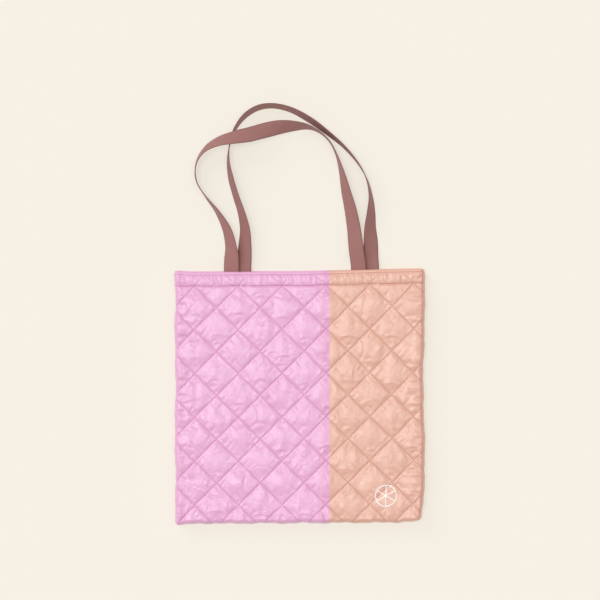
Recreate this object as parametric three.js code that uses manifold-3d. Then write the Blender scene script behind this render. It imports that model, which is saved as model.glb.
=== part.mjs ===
// Quilted two-tone tote bag with two long webbing handles, lying flat on its back.
//
// Frame, in millimetres: the origin is the centre of the back panel's outer face, which rests on
// the ground at z = 0. +Y runs from the bottom seam to the mouth and the handles, +Z runs from the
// back panel to the front panel, and +X is to the right when the front is looked at.
import * as THREE from "three";
import { mergeVertices } from "three/addons/utils/BufferGeometryUtils.js";
import Module from "manifold-3d";

const wasm = await Module();
wasm.setup();

// ---------- driving dimensions ----------
const BAG_WIDTH = 410;
const BAG_HEIGHT = 414;
const BAG_DEPTH = 30;
const TONE_LINE_X = 49; // pink cloth to the left of this line, peach cloth to the right

const GAP = 0.3; // clearance between pieces that touch on the real bag
const SHELL_THICK = 1.2;
const THREAD_THICK = 0.4;
const BATTING_THICK = 4.4;
const LINING_THICK = 0.8;
const SEAM_LIP = 1.8; // height of a shell's edge above the seam plane
const ROUNDING = [0, SHELL_THICK, 3, 6, 10, 14, 15.2]; // grid lines where a panel falls to its seam
const EDGE_ROUND = 14;

const HEM_HEIGHT = 23; // top edge to the lower row of hem stitching
const HEM_TOP_STITCH = 5; // top edge to the upper row
const HEM_TURN = 26; // depth of the cloth turned in behind the mouth
const FACING_THICK = 3;
const FOLD_THICK = 1.3; // the turned edge that closes the layers at the mouth

const SEAM_WIDTH = 10.5;
const SEAM_THICK = 8;
const SEAM_INSET = 2.5;

const QUILT_PITCH = 72; // corner to corner of one quilted diamond
const QUILT_COLUMN_X = -28.6; // x of one column of crossings
const QUILT_MARGIN = 16;
// Rows of quilting by direction, counted along the hem line from the column at QUILT_COLUMN_X.
const QUILT_ROWS = [
  { slope: 1, first: -1, last: 7 },
  { slope: -1, first: -7, last: 2 },
];
const THREAD_WIDTH = 0.8;

const STRAP_WIDTH = 25;
const STRAP_THICK = 1.8;
const STRAP_STEPS = 64;
const STRAP_START = 0.8; // the free webbing begins this far beyond the mouth
const STRAP_TAIL = 25; // webbing sewn down behind the hem
const BOX_STITCH = { width: 19, height: 17 };

const MARK = { x: 141.5, y: -162, radius: 18, line: 1.6, thick: 0.2 };

// ---------- derived places ----------
const HALF_WIDTH = BAG_WIDTH / 2;
const MOUTH_Y = BAG_HEIGHT / 2;
const BOTTOM_Y = -BAG_HEIGHT / 2;
const HALF_DEPTH = BAG_DEPTH / 2;
const HEM_LINE_Y = MOUTH_Y - HEM_HEIGHT;

// Heights above the seam plane, from the outer face of a panel inwards.
const SHELL_IN = HALF_DEPTH - SHELL_THICK;
const THREAD_OUT = SHELL_IN - GAP;
const BATTING_DROP = GAP + THREAD_THICK + GAP;
const BATTING_IN = SHELL_IN - BATTING_DROP - BATTING_THICK;
const LINING_OUT = BATTING_IN - GAP;
const LINING_IN = LINING_OUT - LINING_THICK;
const FACING_OUT = LINING_IN - GAP;
const FACING_IN = FACING_OUT - FACING_THICK;
const STRAP_OUT = FACING_IN - GAP;
const STRAP_IN = STRAP_OUT - STRAP_THICK;
const BOX_STITCH_OUT = STRAP_IN - GAP;
const FRONT_STRAP_Z = HALF_DEPTH + STRAP_OUT - STRAP_THICK / 2;
const BACK_STRAP_Z = HALF_DEPTH - STRAP_OUT + STRAP_THICK / 2;

// Routes of the free webbing, from the left end round to the right end: x, y and height of the
// webbing's middle, then its tilt in degrees. At 0 it lies flat, at 90 it stands on its outer edge,
// past 90 it leans outwards, and at -90 it stands on its inner edge. The front handle crosses over
// the back one once, above the top left of the bag, and turns over there from one tilt to the other.
const STRAP_START_Y = MOUTH_Y + STRAP_START;
const FRONT_ROUTE = [
  [-112, STRAP_START_Y, FRONT_STRAP_Z, 0],
  [-112, 215, 17.2, 3],
  [-112, 227, 15.5, 15],
  [-113, 247, 13, 40],
  [-119.5, 275, 12.4, 54],
  [-135.5, 305, 12.9, 73],
  [-155.5, 331, 13, 87],
  [-169, 353, 13, 90],
  [-172, 374, 13.2, 88],
  [-167, 393, 15, 82],
  [-153, 410, 22, 67],
  [-131, 421, 31, 49],
  [-107, 426.5, 35, 31],
  [-82, 431.5, 31, 12],
  [-57, 438.5, 24.5, -2],
  [-33, 444, 19.5, -26],
  [-9, 446, 16, -51],
  [14, 444.5, 14, -73],
  [33, 436, 13.2, -86],
  [49, 421, 13, -89],
  [60, 400, 13, -86],
  [68.5, 373, 13, -72],
  [76, 340, 13, -54],
  [84, 307, 13, -39],
  [89.5, 275, 14.5, -27],
  [93, 243, 17.5, -11],
  [96.8, 215, 17.9, -2],
  [96.8, STRAP_START_Y, FRONT_STRAP_Z, 0],
];
const BACK_ROUTE = [
  [-92, STRAP_START_Y, BACK_STRAP_Z, 0],
  [-92, 215, 11.2, 3],
  [-91.3, 227, 9.2, 13],
  [-90, 250, 9.6, 31],
  [-90, 276, 11.6, 48],
  [-96, 304, 12.4, 61],
  [-105.5, 333, 12.7, 66],
  [-113.5, 362, 12.9, 69],
  [-117.5, 389, 13, 80],
  [-115.5, 414, 13, 90],
  [-107.5, 439, 13, 98],
  [-91, 462, 13, 106],
  [-69, 476, 13, 108],
  [-45, 479.5, 13, 107],
  [-16, 473.5, 13, 108],
  [17, 456, 13, 111],
  [49, 432.5, 13, 105],
  [75, 410, 13, 98],
  [98, 382, 13, 92],
  [111, 357, 13, 85],
  [117, 330, 12.8, 73],
  [117.5, 305, 12, 56],
  [116, 280, 9.8, 40],
  [117, 254, 6.6, 19],
  [117.3, 230, 7.2, 8],
  [118, 215, 10.8, 2],
  [118, STRAP_START_Y, BACK_STRAP_Z, 0],
];

const COLORS = {
  pink: 0xf0bada,
  peach: 0xeabdad,
  lining: 0xe9d6d2,
  batting: 0xf6f3ee,
  webbing: 0xa57671,
  thread: 0xd79ac2,
  print: 0xfaf6f1,
};

const bag = new THREE.Group();
bag.name = "tote_bag";

function add(name, geometry, color, roughness) {
  const material = new THREE.MeshStandardMaterial({ color, roughness, metalness: 0 });
  const mesh = new THREE.Mesh(geometry, material);
  mesh.name = name;
  bag.add(mesh);
}

// ---------- solids from grids ----------

// A closed solid between two height fields over a grid of x and y lines.
function slab(xs, ys, low, high) {
  const positions = [];
  const index = [];
  const rows = ys.length;
  for (const height of [high, low]) {
    for (const x of xs) {
      for (const y of ys) positions.push(x, y, height(x, y));
    }
  }
  const under = xs.length * rows;
  const quad = (a, b, c, d) => index.push(a, b, c, a, c, d);
  for (let i = 0; i < xs.length - 1; i++) {
    for (let j = 0; j < rows - 1; j++) {
      const a = i * rows + j;
      const b = a + rows;
      quad(a, b, b + 1, a + 1);
      quad(under + a, under + a + 1, under + b + 1, under + b);
    }
  }
  const wall = (a, b) => quad(a, under + a, under + b, b);
  for (let i = 0; i < xs.length - 1; i++) {
    wall(i * rows, (i + 1) * rows);
    wall((i + 2) * rows - 1, (i + 1) * rows - 1);
  }
  for (let j = 0; j < rows - 1; j++) {
    wall(j + 1, j);
    wall((xs.length - 1) * rows + j, (xs.length - 1) * rows + j + 1);
  }
  const geometry = new THREE.BufferGeometry();
  geometry.setAttribute("position", new THREE.Float32BufferAttribute(positions, 3));
  geometry.setIndex(index);
  return geometry;
}

// A layer of one panel, from its inner to its outer height above the seam plane. side is 1 for the
// front panel and -1 for the back one.
function layer(side, xs, ys, inner, outer) {
  const inside = (x, y) => HALF_DEPTH + side * inner(x, y);
  const outside = (x, y) => HALF_DEPTH + side * outer(x, y);
  return side > 0 ? slab(xs, ys, inside, outside) : slab(xs, ys, outside, inside);
}

function block(x0, x1, y0, y1, z0, z1) {
  const geometry = new THREE.BoxGeometry(x1 - x0, y1 - y0, z1 - z0);
  return geometry.translate((x0 + x1) / 2, (y0 + y1) / 2, (z0 + z1) / 2);
}

// A block on one panel, between two heights above the seam plane.
function panelBlock(side, x0, x1, y0, y1, inner, outer) {
  const z = [HALF_DEPTH + side * inner, HALF_DEPTH + side * outer].sort((a, b) => a - b);
  return block(x0, x1, y0, y1, z[0], z[1]);
}

// ---------- joins and cuts ----------
function toSolid(geometry) {
  const bare = geometry.clone();
  bare.deleteAttribute("normal");
  bare.deleteAttribute("uv");
  const merged = mergeVertices(bare);
  const vertProperties = new Float32Array(merged.attributes.position.array);
  const triVerts = new Uint32Array(merged.index.array);
  return new wasm.Manifold(new wasm.Mesh({ numProp: 3, vertProperties, triVerts }));
}

function toGeometry(solid) {
  const mesh = solid.getMesh();
  const geometry = new THREE.BufferGeometry();
  geometry.setAttribute("position", new THREE.BufferAttribute(mesh.vertProperties, 3));
  geometry.setIndex(new THREE.BufferAttribute(mesh.triVerts, 1));
  return geometry;
}

// A flat bar between two points, width wide and from z0 to z1.
function bar(from, to, width, z0, z1) {
  const dx = to[0] - from[0];
  const dy = to[1] - from[1];
  const geometry = block(-Math.hypot(dx, dy) / 2, Math.hypot(dx, dy) / 2, -width / 2, width / 2, z0, z1);
  geometry.rotateZ(Math.atan2(dy, dx));
  return toSolid(geometry.translate((from[0] + to[0]) / 2, (from[1] + to[1]) / 2, 0));
}

const join = (solids) => solids.reduce((whole, next) => whole.add(next));

// ---------- panels ----------

// Distance of a point from the nearest of the left, right and bottom seams.
const fromSeam = (x, y) => Math.min(HALF_WIDTH - Math.abs(x), y - BOTTOM_Y);

// Outer height of a panel at a distance from its seam: a quarter ellipse, then flat.
function crown(distance) {
  const rise = Math.min(distance, EDGE_ROUND) / EDGE_ROUND - 1;
  return SEAM_LIP + (HALF_DEPTH - SEAM_LIP) * Math.sqrt(1 - rise * rise);
}

function shellInner(x, y) {
  const distance = fromSeam(x, y);
  if (distance <= SHELL_THICK) return GAP / 2;
  return crown(distance - SHELL_THICK) - SHELL_THICK;
}

const shellOuter = (x, y) => crown(fromSeam(x, y));

// Grid lines of a layer whose edges lie at a distance from the seams.
const roundingFrom = (inset) => ROUNDING.filter((step) => step >= inset);
const leftLines = (inset) => roundingFrom(inset).map((step) => -HALF_WIDTH + step);
const rightLines = (inset) => roundingFrom(inset).map((step) => HALF_WIDTH - step).reverse();
const bottomLines = (inset) => roundingFrom(inset).map((step) => BOTTOM_Y + step);

function makeShell(side, name) {
  const ys = [...bottomLines(0), MOUTH_Y];
  const pinkXs = [...leftLines(0), TONE_LINE_X - GAP / 2];
  const peachXs = [TONE_LINE_X + GAP / 2, ...rightLines(0)];
  add(`${name}_shell_pink`, layer(side, pinkXs, ys, shellInner, shellOuter), COLORS.pink, 0.45);
  add(`${name}_shell_peach`, layer(side, peachXs, ys, shellInner, shellOuter), COLORS.peach, 0.45);
}

const LAYER_INSET = 6;

function makeBatting(side, name) {
  const xs = [...leftLines(LAYER_INSET), ...rightLines(LAYER_INSET)];
  const ys = [...bottomLines(LAYER_INSET), MOUTH_Y - FOLD_THICK - GAP];
  const outer = (x, y) => shellInner(x, y) - BATTING_DROP;
  add(`${name}_batting`, layer(side, xs, ys, () => BATTING_IN, outer), COLORS.batting, 0.95);
}

function makeLining(side, name) {
  const reach = HALF_WIDTH - LAYER_INSET;
  const top = MOUTH_Y - FOLD_THICK - GAP;
  const low = BOTTOM_Y + LAYER_INSET;
  const geometry = panelBlock(side, -reach, reach, low, top, LINING_IN, LINING_OUT);
  add(`${name}_lining`, geometry, COLORS.lining, 0.7);
}

// The quilting: rows of stitches at 45 degrees both ways, crossing every QUILT_PITCH.
function makeQuilting(side, name) {
  const reach = HALF_WIDTH - QUILT_MARGIN;
  const low = BOTTOM_Y + QUILT_MARGIN;
  const high = HEM_LINE_Y - THREAD_WIDTH / 2 - GAP;
  const z = [HALF_DEPTH + side * THREAD_OUT, HALF_DEPTH + side * (THREAD_OUT - THREAD_THICK)];
  z.sort((a, b) => a - b);
  const rows = [];
  const span = BAG_WIDTH + BAG_HEIGHT;
  for (const { slope, first, last } of QUILT_ROWS) {
    for (let k = first; k <= last; k++) {
      const x = QUILT_COLUMN_X + k * QUILT_PITCH;
      const from = [x - slope * span, HEM_LINE_Y - span];
      const to = [x + slope * span, HEM_LINE_Y + span];
      rows.push(bar(from, to, THREAD_WIDTH, z[0], z[1]));
    }
  }
  const field = toSolid(block(-reach, reach, low, high, z[0], z[1]));
  add(`${name}_quilting_thread`, toGeometry(join(rows).intersect(field)), COLORS.thread, 0.5);
}

// ---------- hem, seams ----------

// The cloth turned in at the mouth: a leaf behind the lining, and the fold over the layers' ends.
function makeHemFacing(side, name) {
  const reach = HALF_WIDTH - SEAM_INSET - SEAM_WIDTH - GAP;
  const leafEnd = MOUTH_Y - HEM_TURN;
  const foldStart = MOUTH_Y - FOLD_THICK;
  const foldTop = SHELL_IN - GAP;
  const outline = [
    [leafEnd, FACING_IN],
    [MOUTH_Y, FACING_IN],
    [MOUTH_Y, foldTop],
    [foldStart, foldTop],
    [foldStart, FACING_OUT],
    [leafEnd, FACING_OUT],
  ];
  const shape = new THREE.Shape(outline.map(([y, height]) => new THREE.Vector2(y, side * height)));
  const geometry = new THREE.ExtrudeGeometry(shape, { depth: 2 * reach, bevelEnabled: false });
  // The section was drawn in x and y and extruded along z: turn it to stand in y and z.
  const turn = new THREE.Matrix4().set(0, 0, 1, -reach, 1, 0, 0, 0, 0, 1, 0, HALF_DEPTH, 0, 0, 0, 1);
  add(`${name}_hem_facing`, geometry.applyMatrix4(turn), COLORS.pink, 0.5);
}

function makeHemStitches(side, name) {
  const reach = HALF_WIDTH - QUILT_MARGIN;
  const rows = { lower: HEM_LINE_Y, upper: MOUTH_Y - HEM_TOP_STITCH };
  for (const [row, y] of Object.entries(rows)) {
    const half = THREAD_WIDTH / 2;
    const inner = THREAD_OUT - THREAD_THICK;
    const geometry = panelBlock(side, -reach, reach, y - half, y + half, inner, THREAD_OUT);
    add(`${name}_hem_${row}_stitches`, geometry, COLORS.thread, 0.5);
  }
}

// The joined raw edges of the two panels, bound with tape, inside the bag.
function makeSeams() {
  const outerX = HALF_WIDTH - SEAM_INSET;
  const innerX = outerX - SEAM_WIDTH;
  const low = BOTTOM_Y + SEAM_INSET;
  const z0 = HALF_DEPTH - SEAM_THICK / 2;
  const z1 = HALF_DEPTH + SEAM_THICK / 2;
  const top = MOUTH_Y - FOLD_THICK;
  add("left_seam_allowance", block(-outerX, -innerX, low, top, z0, z1), COLORS.pink, 0.6);
  add("right_seam_allowance", block(innerX, outerX, low, top, z0, z1), COLORS.peach, 0.6);
  const reach = innerX - GAP;
  const bottom = block(-reach, reach, low, low + SEAM_WIDTH, z0, z1);
  add("bottom_seam_allowance", bottom, COLORS.pink, 0.6);
}

// ---------- handles ----------

// A rectangular section swept along a route, closed at both ends.
function webbing(route) {
  const middle = new THREE.CatmullRomCurve3(route.map(([x, y, z]) => new THREE.Vector3(x, y, z)));
  const tilts = new THREE.CatmullRomCurve3(route.map(([, , , tilt]) => new THREE.Vector3(tilt, 0, 0)));
  tilts.curveType = "catmullrom";
  const up = new THREE.Vector3(0, 0, 1);
  const corners = [
    [1, -1],
    [-1, -1],
    [-1, 1],
    [1, 1],
  ];
  const positions = [];
  for (let step = 0; step <= STRAP_STEPS; step++) {
    const t = step / STRAP_STEPS;
    const tilt = THREE.MathUtils.degToRad(tilts.getPoint(t).x);
    const place = middle.getPoint(t);
    const along = middle.getTangent(t);
    const right = along.clone().cross(up).normalize();
    const above = right.clone().cross(along);
    const across = right.clone().multiplyScalar(Math.cos(tilt)).addScaledVector(above, Math.sin(tilt));
    const normal = across.clone().cross(along);
    for (const [a, b] of corners) {
      const corner = place.clone().addScaledVector(across, (a * STRAP_WIDTH) / 2);
      corner.addScaledVector(normal, (b * STRAP_THICK) / 2);
      positions.push(corner.x, corner.y, corner.z);
    }
  }
  const index = [0, 2, 1, 0, 3, 2];
  for (let step = 0; step < STRAP_STEPS; step++) {
    for (let side = 0; side < corners.length; side++) {
      const a = step * corners.length + side;
      const b = step * corners.length + ((side + 1) % corners.length);
      const a2 = a + corners.length;
      const b2 = b + corners.length;
      index.push(a, b, b2, a, b2, a2);
    }
  }
  const end = STRAP_STEPS * corners.length;
  index.push(end, end + 1, end + 2, end, end + 2, end + 3);
  const geometry = new THREE.BufferGeometry();
  geometry.setAttribute("position", new THREE.Float32BufferAttribute(positions, 3));
  geometry.setIndex(index);
  return geometry;
}

// A handle's two sewn ends, each with a square of stitches crossed corner to corner.
function makeHandleEnds(side, name, route) {
  const ends = { left: route[0][0], right: route[route.length - 1][0] };
  const bottom = MOUTH_Y - STRAP_TAIL;
  const top = MOUTH_Y - GAP;
  const z = [HALF_DEPTH + side * BOX_STITCH_OUT, HALF_DEPTH + side * (BOX_STITCH_OUT - THREAD_THICK)];
  z.sort((a, b) => a - b);
  for (const [hand, x] of Object.entries(ends)) {
    const half = STRAP_WIDTH / 2;
    const tail = panelBlock(side, x - half, x + half, bottom, top, STRAP_IN, STRAP_OUT);
    add(`${name}_handle_${hand}_end`, tail, COLORS.webbing, 0.75);
    const low = HEM_LINE_Y;
    const high = HEM_LINE_Y + BOX_STITCH.height;
    const left = x - BOX_STITCH.width / 2;
    const right = x + BOX_STITCH.width / 2;
    const sides = [
      [left, low, right, low],
      [left, high, right, high],
      [left, low, left, high],
      [right, low, right, high],
      [left, low, right, high],
      [left, high, right, low],
    ];
    const rows = sides.map(([x0, y0, x1, y1]) => bar([x0, y0], [x1, y1], THREAD_WIDTH, z[0], z[1]));
    add(`${name}_handle_${hand}_box_stitch`, toGeometry(join(rows)), COLORS.webbing, 0.6);
  }
}

// ---------- printed mark: a ring round a six-armed star ----------
function makeMark() {
  const ring = new THREE.Shape();
  ring.absarc(0, 0, MARK.radius, 0, 2 * Math.PI);
  const hole = new THREE.Path();
  hole.absarc(0, 0, MARK.radius - MARK.line, 0, 2 * Math.PI);
  ring.holes.push(hole);
  const options = { depth: MARK.thick, bevelEnabled: false, curveSegments: 20 };
  const solids = [toSolid(new THREE.ExtrudeGeometry(ring, options))];
  const reach = MARK.radius - MARK.line / 2;
  for (let arm = 0; arm < 3; arm++) {
    const angle = Math.PI / 2 + (arm * Math.PI) / 3;
    const tip = [reach * Math.cos(angle), reach * Math.sin(angle)];
    solids.push(bar([-tip[0], -tip[1]], tip, MARK.line, 0, MARK.thick));
  }
  const geometry = toGeometry(join(solids)).translate(MARK.x, MARK.y, BAG_DEPTH + GAP);
  add("printed_mark", geometry, COLORS.print, 0.5);
}

// ---------- the bag ----------
const PANELS = [
  [-1, "back"],
  [1, "front"],
];
for (const [side, name] of PANELS) {
  makeShell(side, name);
  makeQuilting(side, name);
  makeBatting(side, name);
  makeLining(side, name);
  makeHemFacing(side, name);
  makeHemStitches(side, name);
}
makeSeams();
makeHandleEnds(1, "front", FRONT_ROUTE);
makeHandleEnds(-1, "back", BACK_ROUTE);
add("front_handle", webbing(FRONT_ROUTE), COLORS.webbing, 0.75);
add("back_handle", webbing(BACK_ROUTE), COLORS.webbing, 0.75);
makeMark();

export default bag;
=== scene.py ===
import math

import bmesh
import bpy
import numpy as np
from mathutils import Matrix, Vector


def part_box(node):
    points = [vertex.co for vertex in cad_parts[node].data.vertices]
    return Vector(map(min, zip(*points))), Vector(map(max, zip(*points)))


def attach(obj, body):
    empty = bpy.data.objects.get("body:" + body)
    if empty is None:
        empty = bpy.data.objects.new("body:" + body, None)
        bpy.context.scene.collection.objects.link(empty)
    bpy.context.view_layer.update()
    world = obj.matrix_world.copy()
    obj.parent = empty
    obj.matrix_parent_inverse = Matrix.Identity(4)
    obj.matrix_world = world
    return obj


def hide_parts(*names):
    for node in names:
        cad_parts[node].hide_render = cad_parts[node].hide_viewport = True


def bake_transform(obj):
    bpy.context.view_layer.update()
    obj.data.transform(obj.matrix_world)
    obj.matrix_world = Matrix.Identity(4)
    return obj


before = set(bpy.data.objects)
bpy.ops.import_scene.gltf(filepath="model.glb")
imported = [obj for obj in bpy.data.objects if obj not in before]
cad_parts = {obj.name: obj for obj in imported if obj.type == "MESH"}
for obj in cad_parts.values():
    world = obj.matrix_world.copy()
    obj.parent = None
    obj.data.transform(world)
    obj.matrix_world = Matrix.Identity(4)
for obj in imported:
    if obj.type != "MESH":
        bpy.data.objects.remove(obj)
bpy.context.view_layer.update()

# The looks of a quilted two-tone tote bag that lies flat on its back. Everything is in metres, in
# the frame of the CAD model: +Y to the mouth and the handles, +Z from the back panel to the front.
# Heights called "above the seam" run from the seam plane outwards, on both panels.


# ---------- sizes from the frame ----------
def middle(node):
    low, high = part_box(node)
    return [(a + b) / 2 for a, b in zip(low, high)]


PINK_LOW, PINK_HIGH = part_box("front_shell_pink")
PEACH_LOW, PEACH_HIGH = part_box("front_shell_peach")
LEFT = PINK_LOW[0]
RIGHT = PEACH_HIGH[0]
BOTTOM = PINK_LOW[1]
MOUTH = PINK_HIGH[1]
TONE_X = (PINK_HIGH[0] + PEACH_LOW[0]) / 2
SEAM_Z = (PINK_LOW[2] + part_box("back_shell_pink")[1][2]) / 2
CROWN = PINK_HIGH[2] - SEAM_Z
HEM_Y = middle("front_hem_lower_stitches")[1]
TOP_STITCH_Y = middle("front_hem_upper_stitches")[1]
FACING_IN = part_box("front_hem_facing")[0][2] - SEAM_Z
FACING_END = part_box("front_hem_facing")[0][1]
LINING_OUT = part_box("front_lining")[1][2] - SEAM_Z
LAYER_LOW, LAYER_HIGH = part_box("front_lining")
STRAP_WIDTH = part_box("front_handle_left_end")[1][0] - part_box("front_handle_left_end")[0][0]
STRAP_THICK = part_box("front_handle_left_end")[1][2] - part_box("front_handle_left_end")[0][2]
TAIL_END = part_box("front_handle_left_end")[0][1]

# ---------- quilting ----------
QUILT_PITCH = 0.072  # corner to corner of one diamond, which stands on its corner
QUILT_X = -0.0286  # one column of crossings
GRID_STEP = QUILT_PITCH / 60  # the rows of stitches pass through grid points
EDGE_ROUND = 0.008  # a panel falls to its seam over this width
EDGE_STEPS = 12
ROLL_STEPS = 8  # half of the round turn at the mouth
ROLL_ARC = 0.0008  # cloth used by one of those steps
TURN_START = MOUTH - 0.0034  # the cloth starts to turn over the mouth here
FACING_GAP = 0.0001  # the facing lies this much farther out than in the CAD model
FACING_SHARE = 0.38  # the facing's greatest height at the sides, as a share of the outer cloth's
FLOOR_GAP = 0.0002  # the back panel stays this far inside the CAD model's depth
NOISE_REACH = 0.4  # noise covers a square from minus this to this, turned or not

GROOVE_DROP = 0.0026  # stitch rows lie this far below a diamond's crown
GROOVE_DEPTH = 0.0007  # the part of that drop that is close to the stitches
GROOVE_WIDTH = 0.0011
HEM_DROP = 0.0026  # the hem lies this much lower than the quilting
EDGE_LIP = 0.0002
ROLL_GROOVE = 0.0044  # the right side's seam shows as a groove this far inside the edge
ROLL_GROOVE_DEPTH = 0.0008
ROLL_GROOVE_WIDTH = 0.0011


def quilt_coords(x, y):
    """Place in the quilting's own grid. Whole numbers of either lie on a row of stitches."""
    return (x - QUILT_X + y - HEM_Y) / QUILT_PITCH, (x - QUILT_X - y + HEM_Y) / QUILT_PITCH


def row_distance(x, y):
    """Distance to the nearest row of quilting."""
    a, b = quilt_coords(x, y)
    return np.minimum(np.abs(a - np.round(a)), np.abs(b - np.round(b))) * QUILT_PITCH / math.sqrt(2)


def smooth(t):
    t = np.clip(t, 0, 1)
    return t * t * (3 - 2 * t)


def between(table, i, j, f, g):
    """Values between the places of a table, at shares f and g of the way to the next ones."""
    low = table[i, j] * (1 - f) + table[i + 1, j] * f
    high = table[i, j + 1] * (1 - f) + table[i + 1, j + 1] * f
    return low * (1 - g) + high * g


def noise(rng, x, y, size, turned=31):
    """Smooth noise, most of it from -1 to 1, with features of about that size."""
    turn = math.radians(turned)
    u = (x * math.cos(turn) - y * math.sin(turn) + NOISE_REACH) / size
    v = (x * math.sin(turn) + y * math.cos(turn) + NOISE_REACH) / size
    count = int(2 * NOISE_REACH / size) + 3
    table = rng.standard_normal((count, count))
    i = u.astype(int)
    j = v.astype(int)
    return between(table, i, j, smooth(u - i), smooth(v - j))


def row_noise(rng, along, row, size):
    """Noise along rows of stitches, for places from -9 to 11 in rows from -20 to 19."""
    table = rng.standard_normal((40, int(20 / size) + 3))
    u = (along + 9) / size
    i = u.astype(int)
    f = smooth(u - i)
    line = (row + 20).astype(int)
    return table[line, i] * (1 - f) + table[line, i + 1] * f


# ---------- wrinkles of the quilted cloth ----------
WARP = 0.0012  # the folds' places are shifted by noise of this height
WARP_SIZE = 0.03
PILLOW_POWER = 0.8  # below 1 the diamonds have flatter tops and steeper sides
FREE_WIDTH = 0.004  # folds grow from nothing at a stitch row over about this distance
CRESCENTS = (2, 5)  # least and most crescent folds in a diamond, the most left out
CRESCENT_RADIUS = (0.008, 0.028)  # from the corner that a fold goes round
CRESCENT_HEIGHT = (0.0003, 0.0010)
CRESCENT_SPREAD = (30, 62)  # half its angle, in degrees
CRESCENT_OUTER = 0.0034  # width of a fold's gentle side
CRESCENT_INNER = 0.0010  # width of its steep side
CRESCENT_TURN = 14  # how much its direction varies, in degrees
CRESCENT_SQUEEZE = (0.75, 1.3)
CRESCENT_SIGNS = (1, 1, -0.7)  # a third of the folds are shallower hollows
BOTTOM_SHARE = 0.62  # this share of the folds goes round a diamond's lower corner
PATCH_SIZE = 0.010
PATCH_STRETCH = 0.5  # patches are higher than wide
PATCH_HEIGHT = 0.00040
CREASE_SIZE = 0.015
CREASE_HEIGHT = 0.00045
CREASE_WIDTH = 0.14  # of the noise's range
PUCKER_SIZE = 0.085  # of a quilting pitch
PUCKER_HEIGHT = 0.00028
PUCKER_REACH = 0.0042
SEAM_PUCKER_SIZE = 0.0065
SEAM_PUCKER_HEIGHT = 0.0007
SEAM_PUCKER_REACH = 0.007
HEM_RISE = 0.0021  # the hem's cloth stands this high between its two rows
HEM_PUCKERS = (  # share, lean from upright, stretch along Y, size
    (1.0, 0.25, 0.12, 0.0028),
    (0.7, -0.2, 0.2, 0.00476),
)
HEM_PUCKER_HEIGHT = 0.00040
HEM_UNEVEN = 0.10  # the hem's rise varies by about this share
HEM_LINE_DEPTH = 0.0006  # the rows of quilting show in the hem as grooves this deep
HEM_LINE_WIDTH = 0.0016
ROW_PULL = 0.0007  # the lower hem row is pulled this much deeper than the quilting


def crescents(x, y, rng):
    """Folds that go round the corners of the diamonds, as a cloth pulled by its stitches gets."""
    height = np.zeros_like(x)
    corner = QUILT_PITCH / 2
    for column in range(-6, 8):
        for row in range(-12, 2):
            if (column + row) % 2:
                continue
            cx = QUILT_X + (column + 1) * corner
            cy = HEM_Y + row * corner
            for _ in range(rng.integers(*CRESCENTS)):
                towards = -90 if rng.random() < BOTTOM_SHARE else rng.choice([0, 90, 180])
                angle = math.radians(towards)
                px = cx + corner * math.cos(angle)
                py = cy + corner * math.sin(angle)
                back = angle + math.pi + math.radians(rng.normal(0, CRESCENT_TURN))
                radius = rng.uniform(*CRESCENT_RADIUS)
                tall = rng.uniform(*CRESCENT_HEIGHT) * rng.choice(CRESCENT_SIGNS)
                spread = math.radians(rng.uniform(*CRESCENT_SPREAD))
                squeeze = rng.uniform(*CRESCENT_SQUEEZE)
                near = (np.abs(x - cx) < corner) & (np.abs(y - cy) < corner)
                dx = (x[near] - px) * squeeze
                dy = y[near] - py
                turned = (np.arctan2(dy, dx) - back + math.pi) % (2 * math.pi) - math.pi
                off = np.hypot(dx, dy) - radius
                width = np.where(off > 0, CRESCENT_OUTER, CRESCENT_INNER) * rng.uniform(0.8, 1.3)
                reach = np.cos(np.clip(turned / spread, -1, 1) * math.pi / 2) ** 2
                height[near] += tall * np.exp(-((off / width) ** 2)) * reach
    return height


def quilted(x, y, rng):
    """Height of the quilted cloth above the bottom of the stitch rows."""
    wx = x + WARP * noise(rng, x, y, WARP_SIZE)
    wy = y + WARP * noise(rng, x, y, WARP_SIZE)
    a, b = quilt_coords(x, y)
    fa = a - np.floor(a)
    fb = b - np.floor(b)
    off = row_distance(x, y)
    pillow = (np.sin(np.pi * fa) * np.sin(np.pi * fb)) ** PILLOW_POWER
    height = (GROOVE_DROP - GROOVE_DEPTH) * pillow
    height += GROOVE_DEPTH * (1 - np.exp(-off / GROOVE_WIDTH))
    free = 1 - np.exp(-((off / FREE_WIDTH) ** 2))
    height += free * crescents(wx, wy, rng)
    height += free * PATCH_HEIGHT * noise(rng, wx, wy * PATCH_STRETCH, PATCH_SIZE, 0)
    crease = np.exp(-np.abs(noise(rng, wx, wy, CREASE_SIZE)) / CREASE_WIDTH)
    height -= free * CREASE_HEIGHT * crease * smooth(noise(rng, x, y, 2 * CREASE_SIZE))
    for along, across, f in ((a, b, fb), (b, a, fa)):
        for side, gone in ((0, f), (1, 1 - f)):
            reach = gone * QUILT_PITCH / math.sqrt(2) / PUCKER_REACH
            pull = row_noise(rng, along + 0.1 * across, np.floor(across) * 2 + side, PUCKER_SIZE)
            height += PUCKER_HEIGHT * pull * reach * np.exp(1 - reach) * free ** 0.5
    return height


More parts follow.
